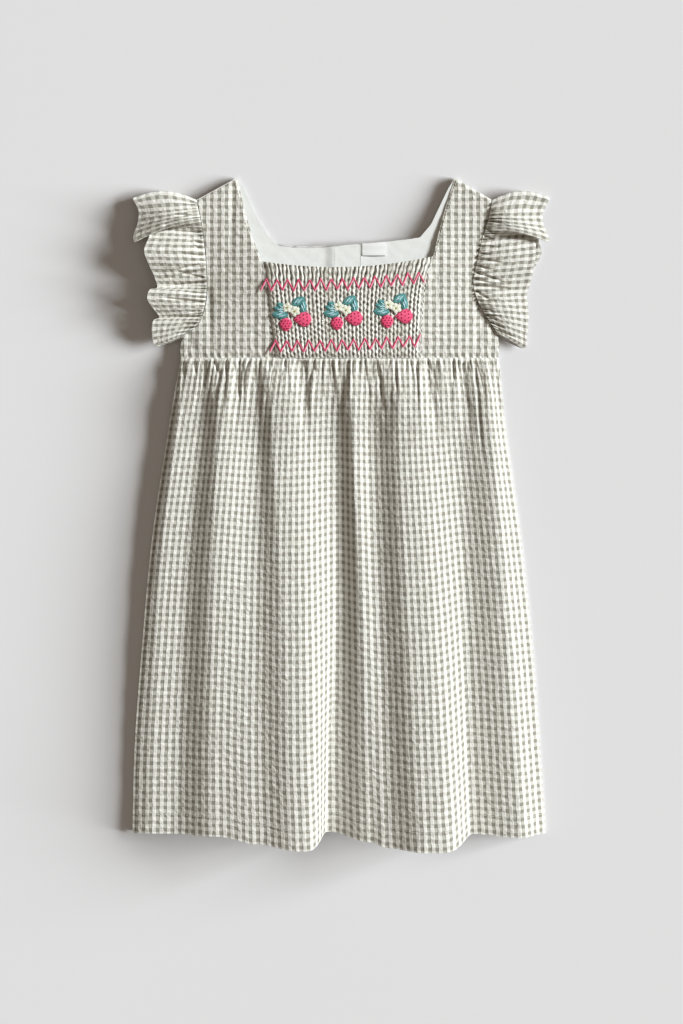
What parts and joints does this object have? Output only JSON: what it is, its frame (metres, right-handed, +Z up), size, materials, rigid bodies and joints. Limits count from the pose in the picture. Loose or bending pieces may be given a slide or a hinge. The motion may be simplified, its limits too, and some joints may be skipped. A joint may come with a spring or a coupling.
{
  "type": "gingham dress",
  "caption": "Small child's sleeveless gingham dress laid flat, with a smocked square neck, armhole ruffles and a gathered skirt with soft folds.",
  "frame": {"origin": "under the middle of the dress, on the surface it lies on", "axes": "+Y from the hem towards the neck, +X towards the viewer's right, +Z up out of the front of the dress"},
  "size_m": [0.3718, 0.6003, 0.0277],
  "materials": {
    "gingham": "crinkled seersucker cotton, small off-white and grey-taupe check, matt",
    "smocking": "the same gingham drawn up in fine smocked pleats, matt",
    "lining": "plain white cotton lawn, matt",
    "label": "blank white woven tape, faint sheen",
    "thread": "stranded embroidery cotton in pinks, greens and cream, silky"
  },
  "bodies": {
    "root": {"front_skirt": "gingham", "back_skirt": "gingham", "front_bodice_left": "gingham", "front_bodice_right": "gingham", "smocked_front": "smocking", "back_bodice_left": "gingham", "back_bodice_right": "gingham", "back_lining_left": "lining", "back_lining_right": "lining", "back_label": "label", "ruffle_left": "gingham", "ruffle_right": "gingham"}
  },
  "joints": []
}
